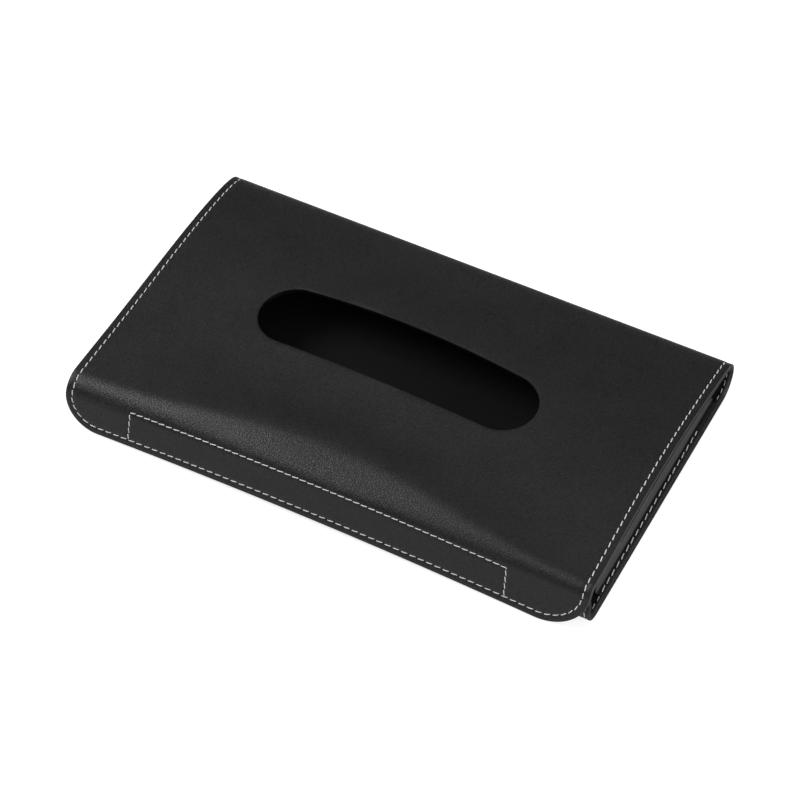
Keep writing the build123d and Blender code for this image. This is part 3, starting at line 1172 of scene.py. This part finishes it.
def wing_piece(word, side):
    """One wing: a strip of web with a hem, rounded free corners and a slight wave."""
    profile = wing_profile()
    run = lengths(profile)
    normal = beside(unit(np.gradient(profile, axis=0)))
    normal *= -np.sign(normal[-1, 0])
    rows = len(profile)
    pivot_run = run[hem_count + bend_count - 1]
    vertices = []
    uv = []
    for layer in (-0.5, 0.5):
        for k in range(rows):
            short = max(wing_corner - (run[-1] - run[k]), 0)
            cut = wing_corner - math.sqrt(wing_corner**2 - short**2)
            rise = max(run[k] - pivot_run, 0) / (run[-1] - pivot_run)
            rear = wing_start + wing_length + wing_taper * (1 - rise * wing_taper_share) - cut
            y = np.linspace(wing_start + cut, rear, wing_stations)
            wave = rise * sum(height * np.sin(y * rate + lead) for height, rate, lead in wing_waves)
            at_edge = min(run[k], run[-1] - run[k]) < wing_edge_reach
            thick = wing_thickness * (wing_edge_share if at_edge else 1)
            shift = wave + layer * thick
            x = profile[k, 0] + normal[k, 0] * shift
            z = profile[k, 1] + normal[k, 1] * shift
            vertices.append(np.stack([side * x, y, z], 1))
            uv.append(np.stack([y, np.full_like(y, run[k])], 1))
    size = rows * wing_stations
    index = np.arange(size).reshape(rows, wing_stations)
    quads = np.stack([index[:-1, :-1], index[:-1, 1:], index[1:, 1:], index[1:, :-1]], -1).reshape(-1, 4)
    quad_rows = quads[:, 0] // wing_stations
    # Faces of the first rows take the black leather, painted shade on the hem; those of the last rows take
    # the lighter web, painted highlight on the blade's top edge.
    quad_kinds = np.where(quad_rows >= rows - 1 - painted_highlight_rows, 2, quad_rows < painted_shade_rows)
    rim = np.concatenate([index[0], index[1:, -1], index[-1, -2::-1], index[-2:0:-1, 0]])
    after = np.roll(rim, -1)
    low_row, high_row = np.sort([rim // wing_stations, after // wing_stations], axis=0)
    rim_kinds = np.where(low_row == rows - 1, 2, high_row < painted_shade_rows)
    faces = np.vstack([quads, quads + size, np.stack([rim, after, after + size, rim + size], 1)])
    kinds = np.concatenate([quad_kinds, quad_kinds, rim_kinds])
    # The last material is the lighter web: painted highlight along the blade's top edge.
    materials = [grey_web, skin, painted_highlight_web]
    piece = new_piece(f"{word}_wing_web", np.vstack(vertices), faces, materials, kinds, np.vstack(uv))
    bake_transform(piece)
    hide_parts(f"{word}_wing", f"{word}_wing_hem")


wing_piece("right", 1)
wing_piece("left", -1)


def strip_piece(name, middle, size, corner, top, bottom, step, material, seams=()):
    """A strip with round corners, straight in the pattern."""
    half_x, half_w = size[0] / 2 - corner, size[1] / 2 - corner
    line = []
    for a, b, start in ((1, 1, 90), (1, -1, 0), (-1, -1, -90), (-1, 1, -180)):
        centre = (middle[0] + a * half_x, middle[1] + b * half_w)
        line.append(arc(centre, (corner, corner), start, start - 90, corner_step))
    line = np.vstack(line)
    loop = resampled(np.vstack([line, line[:1]]), fine_step)[:-1]
    rows = np.arange(middle[1] - size[1] / 2, middle[1] + size[1] / 2, strip_row_step)
    outline = (loop, outward(loop))
    return sheet_piece(name, [outline], seams, rows, step, top, bottom, [material, material])


def closure_tape(word, start, width, depth, material, move):
    """A tape with its upper or outer edge at a row of the pattern, and its outer side at a depth."""
    faces = (constant(depth), constant(depth + tape_thickness))
    tape = strip_piece(
        f"{word}_tape", (0, start + width / 2), (tape_length, width), tape_corner, *faces, coarse_step,
        material)
    settle(tape, move, f"{word}_tape", f"{word}_strip")


hook_start = front_run - flap_drop + hook_drop
closure_tape("hook", hook_start, hook_width, leather + lining + 2 * bond, black_hooks, bend_front)
closure_tape("loop", loop_drop - back_run, loop_width, -bond - tape_thickness, black_loops, ride_back)


def visor_band(word, middle_x):
    """Ribbed elastic flat against the back, sewn down by a box of stitches near each end."""
    middle = np.array([middle_x, -spine_run - spine_y])
    box_shares = np.array([(-1, -1), (1, -1), (1, 1), (-1, 1), (-1, -1)])
    box = middle + box_shares * (box_half_length, box_half_width)
    boxes = [box + (0, end * (strap_length / 2 - box_setback)) for end in (-1, 1)]

    def ribs(points):
        return rib_depth * np.abs(np.sin(math.pi * (points[:, 0] - middle_x) / rib_pitch))

    def outer_side(points):
        return -bond - strap_thickness + ribs(points) + grooves(points, boxes, box_depth, box_reach)

    def inner_side(points):
        return -bond - ribs(points) * rib_inner_share

    name = f"{word}_band"
    band = strip_piece(
        name, middle, (strap_width, strap_length), strap_corner, outer_side, inner_side, rib_pitch / 4,
        black_elastic, boxes)
    settle(band, ride_back, "visor_elastic", f"{word}_visor_strap")
    thread_depth = constant(-bond - strap_thickness + box_thread_depth)
    for place_word, box in zip(("rear", "front"), boxes):
        ride_back(stitches(
            f"{name}_{place_word}_stitches", box, box_pitch, side_dash, thread_depth, 1, black_thread))


visor_band("left", -strap_spacing / 2)
visor_band("right", strap_spacing / 2)

# The stiffener is carried over from the solid
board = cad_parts["back_board"]
board.data.materials.clear()
board.data.materials.append(fibreboard)


# Threads
def cover_inside(points):
    """Depth of the cover's and flap's inner face."""
    return np.where(points[:, 1] < pad_end, cover_face_low(points), flap_face_low(points))


def back_inside(points):
    """Depth of the back's inner face, over the wings' hems where they are sewn in."""
    point, _ = outer_face(points)
    into = np.minimum(point[:, 1] - wing_start, wing_start + wing_length - point[:, 1])
    over = np.clip(into / hem_ramp, 0, 1) * on_back(points) * (outside_seam(points) > -back_margin)
    hem_top = hem_z - base + wing_thickness
    return back_face_low(points) * (1 - over) + hem_top * over


def sew(name, seam, pitch, dash, seams, inside_depth, bend):
    """Stitches and needle holes on both faces of a seam."""
    for word, depth, side in (("outside", grooved(seams), 1), ("inside", inside_depth, -1)):
        bend(stitches(f"{name}_{word}", seam, pitch, dash, depth, side, white_thread))
        bend(needle_holes(f"{name}_{word}_holes", seam, pitch, dash, depth, side, needle_hole))


sew("cover_seam", cover_seam, side_pitch, side_dash, cover_seams, cover_inside, bend_front)
sew("closure_seam", closure, closure_pitch, closure_dash, cover_seams, cover_inside, bend_front)
sew("back_seam", back_seam, back_pitch, side_dash, back_seams, back_inside, bend_back)


# Stage, lights and camera, with places in metres
def make_floor(reach, shade, glow):
    """A pale floor with an even glow that only the camera sees."""
    nodes = Material("Floor")
    sockets = [nodes.shader.inputs[key] for key in ("Base Color", "Roughness", "Specular IOR Level")]
    nodes.feed(sockets, ((*grey(shade), 1), 0.8, 0.2))
    seen = nodes.add("LightPath").outputs["Is Camera Ray"]
    light = nodes.add("Emission", Color=(1, 1, 1, 1), Strength=nodes.math("MULTIPLY", seen, glow))
    total = nodes.add("AddShader")
    nodes.feed(total.inputs, (nodes.shader.outputs[0], light.outputs[0]))
    nodes.feed([nodes.tree.nodes["Material Output"].inputs["Surface"]], [total.outputs[0]])
    mesh = bpy.data.meshes.new("floor")
    corners = [(x * reach, y * reach, 0) for x, y in ((-1, -1), (1, -1), (1, 1), (-1, 1))]
    mesh.from_pydata(corners, [], [(0, 1, 2, 3)])
    mesh.materials.append(nodes.material)
    floor = bpy.data.objects.new("floor", mesh)
    bpy.context.scene.collection.objects.link(floor)


def make_world(level, power):
    """A soft surround: bright above, dim at the horizon, white where the camera sees past the floor."""
    world = bpy.data.worlds.new("Studio")
    bpy.context.scene.world = world
    world.use_nodes = True
    sky = Tree(world.node_tree)
    split = sky.add("SeparateXYZ", Vector=sky.add("TexCoord").outputs["Generated"])
    height = sky.math("MAXIMUM", split.outputs[2], 0)
    glow = sky.math("MULTIPLY", sky.math("POWER", height, power), level)
    strength = sky.mix(sky.add("LightPath").outputs["Is Camera Ray"], glow, 1)
    background = sky.tree.nodes["Background"].inputs
    sky.feed((background["Color"], background["Strength"]), ((1, 1, 1, 1), strength))


def aimed(name, data, at, direction):
    """A lamp or camera at a place, looking in a direction."""
    thing = bpy.data.objects.new(name, data)
    thing.location = at
    thing.rotation_mode = "QUATERNION"
    thing.rotation_quaternion = direction.to_track_quat("-Z", "Y")
    bpy.context.scene.collection.objects.link(thing)
    return thing


def soft_light(name, at, aim, size, power):
    """A large soft lamp."""
    lamp = bpy.data.lights.new(name, "AREA")
    lamp.shape = "RECTANGLE"
    lamp.size, lamp.size_y = size
    lamp.energy = power
    aimed(name, lamp, at, Vector(aim) - Vector(at))


def make_camera():
    """The photograph's camera."""
    lens = bpy.data.cameras.new("camera")
    lens.lens = camera_lens
    lens.sensor_width = camera_sensor
    turn, rise = math.radians(camera_azimuth), math.radians(camera_elevation)
    back = Vector((math.sin(turn) * math.cos(rise), -math.cos(turn) * math.cos(rise), math.sin(rise)))
    bpy.context.scene.camera = aimed("camera", lens, Vector(camera_eye) * mm, -back)


make_floor(reach=6, shade=0.7, glow=0.74)
make_world(level=0.54, power=1.5)
soft_light("key", at=(-1.2, -0.42, 1.2), aim=(0, 0, 0), size=(0.95, 0.7), power=18.5)
soft_light("side", at=(1.1, -0.15, 0.42), aim=(0.1, 0, 0.01), size=(0.7, 0.45), power=7)
make_camera()
bpy.context.scene.view_settings.view_transform = "Standard"
